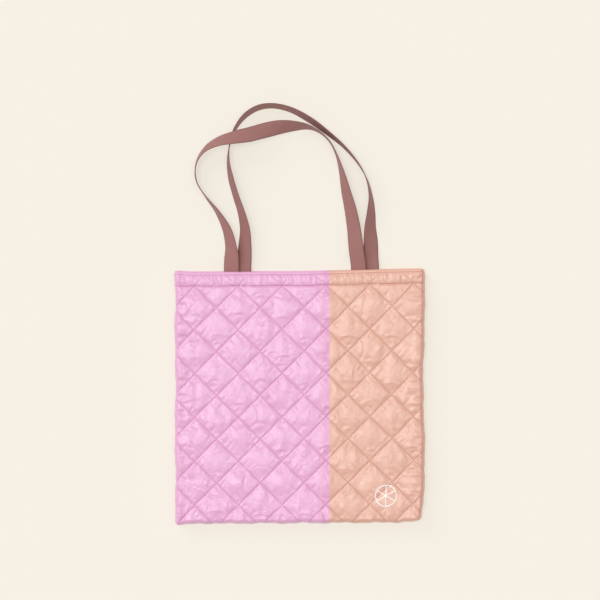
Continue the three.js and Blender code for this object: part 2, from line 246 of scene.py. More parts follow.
def hem(x, y, rng):
    """Height of the hem's cloth above the bottom of its stitch rows, with its upright puckers."""
    up = y - HEM_Y
    t = np.clip(up / (TOP_STITCH_Y - HEM_Y), 0, 1)
    arch = np.sqrt(np.clip(np.sin(np.pi * t), 0, 1))
    pucker = 0
    for share, lean, stretch, size in HEM_PUCKERS:
        pucker = pucker + share * noise(rng, x + lean * up, y * stretch, size, 0)
    height = HEM_RISE * arch * (1 + HEM_UNEVEN * noise(rng, x, y, WARP_SIZE))
    height += HEM_PUCKER_HEIGHT * pucker * (0.3 + 0.7 * arch)
    height -= HEM_LINE_DEPTH * np.exp(-((row_distance(x, y) / HEM_LINE_WIDTH) ** 2)) * arch
    return np.maximum(height, 0)


HEM_CHANGE = 0.0015  # the quilting gives way to the hem over this height
HEM_PINCH = 0.0035  # below the lower hem row the quilting is flatter over this height
HEM_PINCHED = 0.12  # share of its relief that is left beside that row
HEM_FALL_START = 0.03  # below the lower hem row, where the fall to the hem's level starts
HEM_FALL = 0.045
EDGE_FLAT = 0.004  # relief grows from nothing at the seams over this width
SIDE_APART = 0.3  # far enough in the noise for each side to have puckers of its own
GROOVE_FADE = 0.01  # above the lower hem row the rolled seam's groove fades over this height


def quarter(distance):
    """A quarter circle's rise over EDGE_ROUND."""
    return np.sqrt(np.clip(1 - (1 - np.clip(distance / EDGE_ROUND, 0, 1)) ** 2, 0, 1))


def outer_height(x, y, rng):
    """Height of a panel's outer cloth above the seam."""
    above = smooth((y - HEM_Y) / HEM_CHANGE)
    soft = quilted(x, y, rng) * (1 - above) + hem(x, y, rng) * above
    from_hem = np.clip((HEM_Y - y) / HEM_PINCH, 0, 1) ** 0.7
    soft = np.where(y < HEM_Y, soft * (HEM_PINCHED + (1 - HEM_PINCHED) * from_hem), soft)
    base = CROWN - GROOVE_DROP - HEM_DROP * smooth((y - HEM_Y + HEM_FALL_START) / HEM_FALL)
    from_edge = np.minimum(np.minimum(x - LEFT, RIGHT - x), y - BOTTOM)
    soft *= smooth(from_edge / EDGE_FLAT)
    along = np.where(from_edge == y - BOTTOM, x, y)
    place_of_side = np.where(from_edge == RIGHT - x, SIDE_APART, 0)
    place_of_side = np.where(from_edge == x - LEFT, -SIDE_APART, place_of_side)
    pull = noise(rng, along, place_of_side + from_edge * 0.3, SEAM_PUCKER_SIZE, 0)
    reach = from_edge / SEAM_PUCKER_REACH
    soft += SEAM_PUCKER_HEIGHT * pull * reach * np.exp(1 - reach)
    soft -= ROW_PULL * np.exp(-(((y - HEM_Y) / GRID_STEP) ** 2))
    rise = quarter(x - LEFT) * quarter(RIGHT - x) * quarter(y - BOTTOM)
    height = EDGE_LIP + (base - EDGE_LIP + soft) * rise
    groove = np.exp(-(((RIGHT - x - ROLL_GROOVE) / ROLL_GROOVE_WIDTH) ** 2))
    return height - ROLL_GROOVE_DEPTH * groove * smooth((HEM_Y - y) / GROOVE_FADE + 1)


# ---------- how the flat pattern lies ----------
LEFT_WAVES = ((0.0007, 38, 0.6), (0.0006, 91, 0), (0.00025, 310, 0))  # height, rate, start
RIGHT_WAVES = ((0.0013, 27, -2.2), (0.0006, 83, 1), (0.00025, 290, 2))
BOTTOM_WAVES = ((0.0005, 260, 0), (0.0006, 103, 1))
TUCK = 0.0005  # a row of stitches pulls the seams in this much
TUCK_WIDTH = 0.005
SLOPE = 0.0026  # the right side lies this much higher than the left
LOW_RIGHT_IN = 0.0045  # how far the corners lie from the flat pattern's
LOW_RIGHT_UP = 0.0020
LOW_LEFT_DOWN = 0.0022
HIGH_RIGHT_OUT = 0.0022
HIGH_LEFT_UP = 0.0022
RIGHT_MOUTH_UP = 0.0034
BACK_MOUTH_UP = 0.0014  # the back panel shows above the front one by this much, at the left
HEM_BULGE = 0.0012  # the left edge stands out this much beside the hem
CORNER_ROUND = 0.009
CORNER_PULL = 0.0024  # how far a corner's point is pulled in, along X and along Y


def waves(parts, along):
    return sum(size * np.sin(rate * along + start) for size, rate, start in parts)


def lie(x, y, side):
    """Where a point of the flat pattern lies: the sides wave, and the corners of the mouth stand up."""
    across = (x - LEFT) / (RIGHT - LEFT)
    up = (y - BOTTOM) / (MOUTH - BOTTOM)
    near_left = (1 - across) ** 6
    near_right = across ** 6
    near_bottom = (1 - up) ** 8
    low = smooth(1 - up * 12)
    high = smooth((up - 0.9) / 0.1)
    tuck = TUCK * np.exp(-((row_distance(x, y) / TUCK_WIDTH) ** 2))
    dx = near_left * (waves(LEFT_WAVES, y) - HEM_BULGE * smooth((y - HEM_Y + 0.004) / 0.006))
    dx += near_right * (waves(RIGHT_WAVES, y) + HIGH_RIGHT_OUT * high)
    dx -= near_right * LOW_RIGHT_IN * np.clip(1 - up * 9, 0, 1) ** 2
    dx += tuck * (near_left ** 3 - near_right ** 3)
    dy = SLOPE * (across - 0.5) + near_bottom * waves(BOTTOM_WAVES, x) + tuck * near_bottom ** 3
    dy += RIGHT_MOUTH_UP * smooth((up - 0.75) / 0.25) * smooth((across - 0.45) / 0.55)
    dy += HIGH_LEFT_UP * high * np.clip(1 - across * 18, 0, 1)
    dy -= LOW_LEFT_DOWN * low * np.clip(1 - across * 12, 0, 1)
    dy += LOW_RIGHT_UP * low * np.clip(across * 10 - 9, 0, 1)
    near_side = np.clip(1 - np.minimum(x - LEFT, RIGHT - x) / CORNER_ROUND, 0, 1) ** 2
    low_corner = near_side * np.clip(1 - (y - BOTTOM) / CORNER_ROUND, 0, 1) ** 2
    high_corner = near_side * np.clip(1 - (MOUTH - y) / CORNER_ROUND, 0, 1) ** 2
    dx += CORNER_PULL * (low_corner + high_corner) * np.where(across < 0.5, 1, -1)
    dy += CORNER_PULL * (low_corner - high_corner)
    if side < 0:
        dy += BACK_MOUTH_UP * high * (1 - 0.7 * across)
    return x + dx, y + dy


def above_seam(side, height):
    return SEAM_Z + side * height


# ---------- mesh helpers ----------
def mesh_object(name, points, faces, material, uvs=None):
    mesh = bpy.data.meshes.new(name)
    mesh.from_pydata(np.asarray(points).tolist(), [], np.asarray(faces).tolist())
    mesh.validate()
    mesh.shade_smooth()
    if uvs is not None:
        layer = mesh.uv_layers.new(name="UVMap")
        corners = np.empty(len(mesh.loops), int)
        mesh.loops.foreach_get("vertex_index", corners)
        layer.data.foreach_set("uv", np.asarray(uvs)[corners].astype(np.float32).ravel())
    piece = bpy.data.objects.new(name, mesh)
    bpy.context.collection.objects.link(piece)
    mesh.materials.append(material)
    return piece


def grid_faces(columns, rows, flip=False):
    i, j = np.meshgrid(np.arange(columns - 1), np.arange(rows - 1), indexing="ij")
    a = (i * rows + j).ravel()
    faces = np.stack([a, a + rows, a + rows + 1, a + 1], 1)
    return faces[:, ::-1] if flip else faces


def tube_faces(rings, sides, flip=False):
    """Faces between rings of points that follow each other."""
    ring, spot = np.meshgrid(np.arange(rings - 1), np.arange(sides), indexing="ij")
    a = (ring * sides + spot).ravel()
    b = (ring * sides + (spot + 1) % sides).ravel()
    corners = [a, a + sides, b + sides, b] if flip else [a, b, b + sides, a + sides]
    return np.stack(corners, 1)


def unit(vectors):
    return vectors / np.maximum(np.linalg.norm(vectors, axis=-1, keepdims=True), 1e-12)


def grid_normals(points):
    return unit(np.cross(np.gradient(points, axis=0), np.gradient(points, axis=1)))


def place(piece, node):
    """The piece rides on the bag, and the CAD node that it stands for is hidden."""
    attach(piece, "bag")
    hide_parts(node)


# ---------- materials ----------
def linear(red, green, blue):
    """A colour given from 0 to 255, as the screen shows it, for a shader."""
    def channel(value):
        value /= 255
        return value / 12.92 if value <= 0.04045 else ((value + 0.055) / 1.055) ** 2.4
    return (channel(red), channel(green), channel(blue), 1)


TONE_BEFORE = 0.0145  # a painted shade darkens the pink a little over this width before the tone line
TONE_AFTER = 0.0012  # and the peach starts this far past it
TONE_STOPS = (0.38, 0.85)  # the painted shade is darkest between these shares of that change


class Shader:
    """A material and its nodes."""

    def __init__(self, name):
        self.material = bpy.data.materials.new(name)
        self.material.use_nodes = True
        self.tree = self.material.node_tree
        self.surface = self.tree.nodes["Principled BSDF"]

    def feed(self, node, inputs):
        """Links or sets a node's inputs."""
        for key, value in inputs.items():
            if isinstance(value, bpy.types.NodeSocket):
                self.tree.links.new(value, node.inputs[key])
            else:
                node.inputs[key].default_value = value
        return node

    def add(self, kind, inputs=None, **settings):
        node = self.tree.nodes.new("ShaderNode" + kind)
        for key, value in settings.items():
            setattr(node, key, value)
        return self.feed(node, inputs or {})

    def math(self, operation, first, second=0.0):
        return self.add("Math", {0: first, 1: second}, operation=operation).outputs[0]

    def mix(self, factor, first, second, blend="MIX"):
        inputs = {"Factor": factor, 6: first, 7: second}
        return self.add("Mix", inputs, data_type="RGBA", blend_type=blend).outputs[2]

    def bump(self, height, distance, normal=None):
        inputs = {"Height": height, "Distance": distance, "Strength": 1.0}
        if normal is not None:
            inputs["Normal"] = normal
        return self.add("Bump", inputs).outputs[0]

    def finish(self, color, normal, **values):
        inputs = {key.replace("_", " "): value for key, value in values.items()}
        self.feed(self.surface, {"Base Color": color, "Normal": normal, **inputs})
        return self.material

    def coords(self, kind="Object"):
        return self.add("TexCoord").outputs[kind]

    def noise(self, coords, scale, detail=3.0, rough=0.5):
        inputs = {"Vector": coords, "Scale": scale, "Detail": detail, "Roughness": rough}
        return self.add("TexNoise", inputs).outputs[0]

    def wave(self, coords, scale, direction="X", distortion=0.0):
        inputs = {"Vector": coords, "Scale": scale, "Distortion": distortion, "Detail": 0.0}
        return self.add("TexWave", inputs, bands_direction=direction).outputs["Fac"]

    def two_tone(self, coords, pink, peach, darker):
        """Pink to the left of the tone line, peach to the right, and a darker pink before it, which is a
        painted shade.
        """
        x = self.add("SeparateXYZ", {0: coords}).outputs[0]
        inputs = {"Value": x, "From Min": TONE_X - TONE_BEFORE, "From Max": TONE_X + TONE_AFTER}
        ramp = self.add("ValToRGB", {0: self.add("MapRange", inputs).outputs[0]})
        stops = ramp.color_ramp.elements
        stops[0].color = pink
        stops[1].color = peach
        for position in TONE_STOPS:
            stops.new(position).color = darker
        return ramp.outputs[0]


PINK = linear(235, 175, 212)
# painted shade: the darker pink of the band just before the tone line
PINK_BAND_PAINTED_SHADE = linear(230, 165, 204)
PEACH = linear(231, 179, 158)
CLOUD_SHADE = (0.93, 0.90, 0.93, 1)  # multiplies the cloth's colour in soft clouds
PINK_GROOVE_PAINTED_SHADE = (0.94, 0.80, 0.88, 1)  # painted shade: the cloth's colour is multiplied by these at the stitches, as if shaded in their grooves
PEACH_GROOVE_PAINTED_SHADE = (0.91, 0.82, 0.78, 1)
PAINTED_GROOVE_SHADE_WIDTH = 0.0016
HEM_SHADE_LESS = 0.0008  # the painted shade of the rows of quilting falls on the hem as if they were this much farther
HEM_SHADE_NARROWER = 0.6  # the hem row's distance is taken times this, so it gets more painted shade


def painted_groove_shade(s, coords):
    """Mask of painted shade in the stitch grooves: 1 at the rows of quilting, the lower hem row and the
    rolled seam, and 0 away from them.
    """
    parts = s.add("SeparateXYZ", {0: coords})
    x = s.math("SUBTRACT", parts.outputs[0], QUILT_X)
    y = s.math("SUBTRACT", parts.outputs[1], HEM_Y)
    gaps = []
    for operation in ("ADD", "SUBTRACT"):
        across_rows = s.math("DIVIDE", s.math(operation, x, y), QUILT_PITCH)
        gap = s.math("PINGPONG", across_rows, 0.5)
        gaps.append(s.math("MULTIPLY", gap, QUILT_PITCH / math.sqrt(2)))
    fainter = s.math("MULTIPLY", s.math("GREATER_THAN", y, 0.0), HEM_SHADE_LESS)
    rows = s.math("ADD", s.math("MINIMUM", *gaps), fainter)
    hem_row = s.math("MULTIPLY", s.math("ABSOLUTE", y), HEM_SHADE_NARROWER)
    near = s.math("MINIMUM", rows, hem_row)
    rolled_line = s.math("SUBTRACT", parts.outputs[0], RIGHT - ROLL_GROOVE)
    near = s.math("MINIMUM", near, s.math("ABSOLUTE", rolled_line))
    inputs = {"Value": near, "From Max": PAINTED_GROOVE_SHADE_WIDTH, "To Min": 1.0, "To Max": 0.0}
    return s.add("MapRange", inputs, interpolation_type="SMOOTHSTEP").outputs[0]


# edge is a painted shade: the darker pink of the band just before the tone line
def nylon(name, pink=PINK, peach=PEACH, edge=PINK_BAND_PAINTED_SHADE, kind="UV"):
    """Satin nylon. With UVs, which are places in the flat pattern, shade is painted into its colour
    along its rows of stitches.
    """
    s = Shader(name)
    coords = s.coords(kind)
    tone = s.two_tone(coords, pink, peach, edge)
    if kind == "UV":
        # painted shade in the grooves of the stitch rows and the rolled seam
        shade = s.two_tone(coords, PINK_GROOVE_PAINTED_SHADE, PEACH_GROOVE_PAINTED_SHADE, PINK_GROOVE_PAINTED_SHADE)
        tone = s.mix(painted_groove_shade(s, coords), tone, s.mix(1.0, tone, shade, "MULTIPLY"))
    cloud = s.noise(coords, 42, 4.0, 0.55)
    darker = s.mix(1.0, tone, CLOUD_SHADE, "MULTIPLY")
    shade = s.add("MapRange", {"Value": cloud, "From Min": 0.35, "From Max": 0.7}).outputs[0]
    color = s.mix(s.math("MULTIPLY", shade, 0.5), tone, darker)
    rib = s.wave(coords, 130, distortion=0.4)
    crinkle = s.noise(coords, 170, 4.0, 0.6)
    fine = s.noise(coords, 1500, 2.0, 0.5)
    normal = s.bump(fine, 0.00003)
    normal = s.bump(rib, 0.00008, normal=normal)
    normal = s.bump(crinkle, 0.00042, normal=normal)
    rough = s.add("MapRange", {"Value": cloud, "To Min": 0.27, "To Max": 0.36}).outputs[0]
    values = {"Roughness": rough, "Specular IOR Level": 0.70}
    return s.finish(color, normal, Sheen_Weight=0.08, Sheen_Roughness=0.4, **values)


# edge is a painted shade: the darker colour of the band just before the tone line
def thread(name, pink, peach, edge):
    s = Shader(name)
    coords = s.coords()
    tone = s.two_tone(coords, pink, peach, edge)
    twist = s.noise(coords, 2200, 2.0)
    return s.finish(tone, s.bump(twist, 0.0001), Roughness=0.55, Sheen_Weight=0.1)


def webbing_cloth(name):
    """Twill webbing. The UVs run along the webbing in metres, and across it from 0 to 1."""
    s = Shader(name)
    coords = s.coords("UV")
    across = s.add("SeparateXYZ", {0: coords}).outputs[1]
    inputs = {"Vector": coords, "Scale": (1.0, STRAP_WIDTH, 1.0)}
    flat = s.add("Mapping", inputs).outputs[0]
    twill = s.wave(flat, 620, "DIAGONAL", distortion=0.3)
    picks = s.wave(flat, 480)
    fuzz = s.noise(flat, 900, 3.0)
    edge = s.math("ABSOLUTE", s.math("SUBTRACT", across, 0.5))
    rim = s.add("MapRange", {"Value": edge, "From Min": 0.41, "From Max": 0.48}).outputs[0]
    base = s.mix(twill, linear(158, 107, 102), linear(184, 128, 122))
    base = s.mix(s.math("MULTIPLY", fuzz, 0.5), base, linear(150, 101, 97))
    color = s.mix(s.math("MULTIPLY", rim, 0.4), base, linear(118, 76, 72))
    normal = s.bump(picks, 0.00008)
    normal = s.bump(twill, 0.00015, normal=normal)
    normal = s.bump(fuzz, 0.00008, normal=normal)
    return s.finish(color, normal, Roughness=0.62, Sheen_Weight=0.06, Sheen_Roughness=0.5)


def woven(name, color, scale, rough):
    """A plain weave in one colour."""
    s = Shader(name)
    coords = s.coords()
    weave = s.math("MULTIPLY", s.wave(coords, scale, "X"), s.wave(coords, scale, "Y"))
    slub = s.noise(coords, 60, 3.0)
    darker = tuple(0.88 * c for c in color[:3]) + (1,)
    tint = s.mix(s.math("MULTIPLY", slub, 0.7), color, darker)
    return s.finish(tint, s.bump(weave, 0.00012), Roughness=rough, Sheen_Weight=0.15)


def wadding(name):
    s = Shader(name)
    coords = s.coords()
    fibres = s.noise(coords, 420, 6.0, 0.7)
    tint = s.mix(fibres, linear(236, 232, 225), linear(250, 248, 243))
    return s.finish(tint, s.bump(fibres, 0.0012), Roughness=0.95, Sheen_Weight=0.3)


def printing(name):
    s = Shader(name)
    wear = s.noise(s.coords(), 700, 4.0, 0.6)
    worn = s.add("MapRange", {"Value": wear, "From Min": 0.62, "From Max": 0.75}).outputs[0]
    tint = s.mix(s.math("MULTIPLY", worn, 0.35), linear(252, 247, 242), linear(240, 214, 204))
    return s.finish(tint, s.bump(wear, 0.00005), Roughness=0.5)


NYLON = nylon("satin_nylon")
# the third colour is the painted shade of the band before the tone line
BINDING_COLORS = (linear(232, 172, 206), linear(228, 178, 160), linear(228, 168, 196))
BINDING = nylon("seam_binding", *BINDING_COLORS, kind="Object")
# the third colour of each thread is the painted shade of the band before the tone line
THREAD = thread("quilting_thread", linear(200, 120, 172), linear(194, 130, 108), linear(194, 118, 160))
HEM_THREAD = thread("hem_thread", linear(172, 92, 144), linear(166, 102, 82), linear(168, 92, 136))
WEBBING = webbing_cloth("twill_webbing")
STRAP_THREAD = woven("webbing_thread", linear(150, 104, 100), 1400, 0.6)
LINING = woven("plain_lining", linear(233, 214, 210), 900, 0.7)
WADDING = wadding("polyester_wadding")
PRINT = printing("screen_print")


# ---------- panels ----------
def lowest_near(field, reach):
    """The least value of a grid within that many steps of each place."""
    wide, high = field.shape
    padded = np.pad(field, reach, mode="edge")
    shifts = range(2 * reach + 1)
    return np.min([padded[i:i + wide, j:j + high] for i in shifts for j in shifts], axis=0)


class Panel:
    """The outer cloth of one panel as a grid of points. side is 1 for the front, -1 for the back."""

    def __init__(self, side, seed):
        rng = np.random.default_rng(seed)
        self.side = side
        angles = np.linspace(0, math.pi / 2, EDGE_STEPS, endpoint=False)
        falls = EDGE_ROUND * (1 - np.cos(angles))
        low = math.ceil((LEFT + EDGE_ROUND - QUILT_X) / GRID_STEP)
        high = math.floor((RIGHT - EDGE_ROUND - QUILT_X) / GRID_STEP)
        inner = QUILT_X + GRID_STEP * np.arange(low, high + 1)
        self.xs = np.concatenate([LEFT + falls, inner, RIGHT - falls[::-1]])
        low = math.ceil((BOTTOM + EDGE_ROUND - HEM_Y) / GRID_STEP)
        high = math.floor((TURN_START - HEM_Y) / GRID_STEP)
        self.ys = np.concatenate([BOTTOM + falls, HEM_Y + GRID_STEP * np.arange(low, high + 1)])
        x, y = np.meshgrid(self.xs, self.ys, indexing="ij")
        height = outer_height(x, y, rng)
        if side < 0:
            height = np.minimum(height, CROWN - FLOOR_GAP)
        self.lowest = lowest_near(height, 2)
        self.points = np.stack([*lie(x, y, side), above_seam(side, height)], -1)
        self.normals = grid_normals(self.points) * side

    def in_steps(self, x, y):
        """Places of the flat pattern, counted in lines of the grid."""
        return [np.interp(v, line, np.arange(len(line))) for v, line in ((x, self.xs), (y, self.ys))]

    def at(self, x, y):
        """Points and outward normals of the cloth at places of the flat pattern."""
        u, v = self.in_steps(x, y)
        i = np.minimum(u.astype(int), len(self.xs) - 2)
        j = np.minimum(v.astype(int), len(self.ys) - 2)
        shares = ((u - i)[..., None], (v - j)[..., None])
        return [between(field, i, j, *shares) for field in (self.points, self.normals)]

    def room(self, x, y):
        """The least height of the cloth above the seam, round places of the flat pattern."""
        i, j = (np.rint(steps).astype(int) for steps in self.in_steps(x, y))
        return self.lowest[i, j]

    def roll(self, start, stop):
        """Rows of points round the turned mouth, from one angle to another. 90 is the outer side."""
        last = self.points[:, -1]
        outer = self.side * (last[:, 2] - SEAM_Z)
        inner = np.minimum(FACING_IN + FACING_GAP, FACING_SHARE * outer)
        centre = (outer + inner) / 2
        radius = (outer - inner) / 2
        _, rim = lie(self.xs, np.full_like(self.xs, MOUTH), self.side)
        reach = rim - last[:, 1]
        rows = []
        for angle in np.radians(np.linspace(start, stop, ROLL_STEPS)):
            height = centre + radius * np.sin(angle)
            y = last[:, 1] + reach * np.cos(angle)
            rows.append(np.stack([last[:, 0], y, above_seam(self.side, height)], -1))
        return np.stack(rows, 1)


def make_shell(panel, name):
    points = np.concatenate([panel.points, panel.roll(90, 0)[:, 1:]], 1)
    normals = grid_normals(points) * panel.side
    rows = points.shape[1]
    ys = np.append(panel.ys, panel.ys[-1] + ROLL_ARC * np.arange(1, ROLL_STEPS))
    flat = np.stack(np.meshgrid(panel.xs, ys, indexing="ij"), -1)
    split = int(np.argmin(np.abs(panel.xs - TONE_X)))
    for tone, part in (("pink", slice(0, split + 1)), ("peach", slice(split, None))):
        cut = points[part]
        faces = grid_faces(len(cut), rows, flip=panel.side < 0)
        uvs = flat[part].reshape(-1, 2)
        piece = mesh_object(f"{name}_quilted_{tone}", cut.reshape(-1, 3), faces, NYLON, uvs)
        piece.data.normals_split_custom_set_from_vertices(normals[part].reshape(-1, 3))
        place(piece, f"{name}_shell_{tone}")


FACING_ROWS = 15
FACING_RIPPLE = 0.00035
FACING_RIPPLE_SIZE = 0.006
FACING_EDGE = ((0.0008, 0.0006), (0.0018, 0), (0.0024, 0))  # its fold: outwards and down, by steps


def make_facing(panel, name):
    """The cloth turned in behind the mouth, with its folded lower edge."""
    rolled = panel.roll(0, -90)
    last = rolled[:, -1]
    inner = panel.side * (last[:, 2] - SEAM_Z)
    open_share = np.minimum(inner / FACING_IN, 1)
    rng = np.random.default_rng(40 + panel.side)
    rows = []
    for y in np.linspace(TURN_START, FACING_END, FACING_ROWS + 1)[1:]:
        _, ly = lie(panel.xs, np.full_like(panel.xs, y), panel.side)
        ripple = noise(rng, panel.xs, np.full_like(panel.xs, y * 0.3), FACING_RIPPLE_SIZE)
        ripple = FACING_RIPPLE * np.abs(ripple) * open_share ** 2
        rows.append(np.stack([last[:, 0], ly, above_seam(panel.side, inner + ripple)], -1))
    for outwards, down in FACING_EDGE:
        edge = rows[-1].copy()
        edge[:, 2] += panel.side * outwards * open_share
        edge[:, 1] -= down
        rows.append(edge)
    points = np.concatenate([rolled, np.stack(rows, 1)], 1)
    faces = grid_faces(*points.shape[:2], flip=panel.side < 0)
    turned = np.abs(np.diff(points[:, :, 1:], axis=1, prepend=points[:, :1, 1:]))
    ys = MOUTH + ROLL_ARC * ROLL_STEPS + np.cumsum(turned.sum(-1), axis=1)
    xs = np.broadcast_to(panel.xs[:, None], ys.shape)
    uvs = np.stack([xs, ys], -1).reshape(-1, 2)
    piece = mesh_object(f"{name}_turned_hem", points.reshape(-1, 3), faces, NYLON, uvs)
    place(piece, f"{name}_hem_facing")


WADDING_GAP = 0.0008  # between the wadding and the outer cloth
LAYER_GAP = 0.0005  # between the lining and the wadding
LINING_GAP = 0.0004  # the lining lies this far inside the CAD model's
LINING_BULGE = 0.0018


def layer_grid(panel, step=2):
    """Every second grid line of a panel inside its lining's outline, up to the turned mouth."""
    keep_x = (panel.xs > LAYER_LOW[0]) & (panel.xs < LAYER_HIGH[0])
    keep_y = (panel.ys > LAYER_LOW[1]) & (panel.ys < LAYER_HIGH[1])
    xs = np.concatenate([[LAYER_LOW[0]], panel.xs[keep_x][::step], [LAYER_HIGH[0]]])
    ys = np.concatenate([[LAYER_LOW[1]], panel.ys[keep_y][::step], [panel.ys[-1]]])
    return xs, ys


def lining_height(x, y):
    """The lining bulges inwards in each diamond, below the hem's facing."""
    a, b = quilt_coords(x, y)
    pillow = np.abs(np.sin(np.pi * a) * np.sin(np.pi * b)) ** 0.6
    free = smooth((FACING_END - 0.004 - y) / 0.02)
    return LINING_OUT - LINING_GAP - LINING_BULGE * pillow * free


def make_layers(panel, name):
    xs, ys = layer_grid(panel)
    x, y = np.meshgrid(xs, ys, indexing="ij")
    lx, ly = lie(x, y, panel.side)
    room = panel.room(x, y)
    under = np.minimum(lining_height(x, y), room - WADDING_GAP - 2 * LAYER_GAP)
    over = np.maximum(room - WADDING_GAP, under + 2 * LAYER_GAP)
    lining = np.stack([lx, ly, above_seam(panel.side, under)], -1)
    faces = grid_faces(*x.shape, flip=panel.side > 0)
    piece = mesh_object(f"{name}_lining_cloth", lining.reshape(-1, 3), faces, LINING)
    place(piece, f"{name}_lining")
    fill = make_wadding(panel, name, lx, ly, under + LAYER_GAP, over)


def make_wadding(panel, name, x, y, under, over):
    low = np.stack([x, y, above_seam(panel.side, under)], -1)
    high = np.stack([x, y, above_seam(panel.side, over)], -1)
    top = grid_faces(*x.shape, flip=panel.side < 0)
    bottom = grid_faces(*x.shape, flip=panel.side > 0) + x.size
    index = np.arange(x.size).reshape(x.shape)
    rim = np.concatenate([index[:, 0], index[-1, 1:], index[-2::-1, -1], index[0, -2:0:-1]])
    after = np.roll(rim, -1)
    wall = np.stack([rim, rim + x.size, after + x.size, after], 1)
    wall = wall[:, ::-1] if panel.side < 0 else wall
    faces = np.concatenate([top, bottom, wall])
    points = np.concatenate([high.reshape(-1, 3), low.reshape(-1, 3)])
    piece = mesh_object(f"{name}_wadding", points, faces, WADDING)
    place(piece, f"{name}_batting")
    return piece


# ---------- stitches ----------
STITCH_STEP = 0.0036
STITCH_LENGTH = 0.0029
STITCH_RADIUS = 0.00024
HEM_STITCH_RADIUS = 0.00034
HEM_STITCH_STEP = 0.0032
STITCH_SIDES = 6
STITCH_RINGS = (  # place along the stitch, thickness and lift out of the cloth, of each ring
    (-0.5, 0.35, -1.1),
    (-0.36, 0.95, 0.1),
    (0.0, 1.0, 0.45),
    (0.36, 0.95, 0.1),
    (0.5, 0.35, -1.1),
)


def stitches(name, centres, along, normals, length, radius, material):
    """One mesh of short stitches, each a rounded bar whose ends dip into the cloth."""
    across = unit(np.cross(normals, along))
    along = np.cross(across, normals)
    points = []
    for reach, wide, lift in STITCH_RINGS:
        for k in range(STITCH_SIDES):
            turn = 2 * math.pi * k / STITCH_SIDES
            out = across * (wide * radius * math.cos(turn))
            rise = normals * (radius * (wide * math.sin(turn) + lift))
            points.append(centres + along * (reach * length) + out + rise)
    points = np.stack(points, 1)
    starts = np.arange(len(centres))[:, None, None] * points.shape[1]
    faces = tube_faces(len(STITCH_RINGS), STITCH_SIDES)[None] + starts
    return mesh_object(name, points.reshape(-1, 3), faces.reshape(-1, 4), material)


def along_lines(lines, step):
    """Evenly spaced places and directions on straight lines of the flat pattern."""
    places = []
    ways = []
    for start, end in np.array(lines):
        length = np.linalg.norm(end - start)
        count = max(int(length / step), 1)
        share = (np.arange(count)[:, None] + 0.5) / count
        places.append(start + (end - start) * share)
        ways.append(np.tile((end - start) / length, (count, 1)))
    return np.concatenate(places), np.concatenate(ways)


QUILT_INSET = 0.0025  # the rows of quilting stop this far inside the seams
QUILT_TOP_INSET = 0.0012
HEM_INSET = 0.003


def quilt_lines():
    """The rows of quilting, from end to end."""
    left, right = LEFT + QUILT_INSET, RIGHT - QUILT_INSET
    bottom, top = BOTTOM + QUILT_INSET, HEM_Y - QUILT_TOP_INSET
    lines = []
    for slope in (1, -1):
        for k in range(-9, 12):
            x0 = QUILT_X + k * QUILT_PITCH
            low, high = sorted(x0 + slope * (y - HEM_Y) for y in (bottom, top))
            start, stop = max(low, left), min(high, right)
            if stop - start > STITCH_STEP:
                lines.append([(x, HEM_Y + slope * (x - x0)) for x in (start, stop)])
    return lines


AHEAD = 0.0005  # a stitch points to the cloth this much farther along its row


def sew(panel, name, lines, step, node, slot, radius, material):
    """Rows of stitches on a panel's cloth."""
    places, ways = along_lines(lines, step)
    centres, normals = panel.at(places[:, 0], places[:, 1])
    ahead, _ = panel.at(*(places + AHEAD * ways).T)
    along = unit(ahead - centres)
    if panel.side < 0:
        centres[:, 2] = np.maximum(centres[:, 2], 2 * radius)
    piece = stitches(name, centres, along, normals, STITCH_LENGTH, radius, material)
    place(piece, node)


def make_stitching(panel, name):
    node = f"{name}_quilting_thread"
    look = (STITCH_RADIUS, THREAD)
    sew(panel, f"{name}_quilting", quilt_lines(), STITCH_STEP, node, "quilting_thread", *look)
    look = (HEM_STITCH_RADIUS, HEM_THREAD)
    for row, y in (("lower", HEM_Y), ("upper", TOP_STITCH_Y)):
        line = ((LEFT + HEM_INSET, y), (RIGHT - HEM_INSET, y))
        node = f"{name}_hem_{row}_stitches"
        sew(panel, f"{name}_hem_{row}_row", [line], HEM_STITCH_STEP, node, "hem_thread", *look)


# ---------- seam allowances ----------
BINDING_GAP = 0.0008  # between the binding and the outer cloth
BINDING_EDGE = 0.0001  # least half thickness of the binding
BINDING_STEP = 0.003
BINDING_SIDES = 20
BINDING_WIDTH = 0.97  # shares of the CAD model's block
BINDING_HEIGHT = 0.8
BINDING_WAVE = 0.10  # its thickness varies along it by up to this share
BINDING_WAVE_RATE = 0.55


def rounded(wave, power):
    """A wave from -1 to 1 whose crests are blunter, for powers below 1."""
    return np.abs(wave) ** power * np.sign(wave)


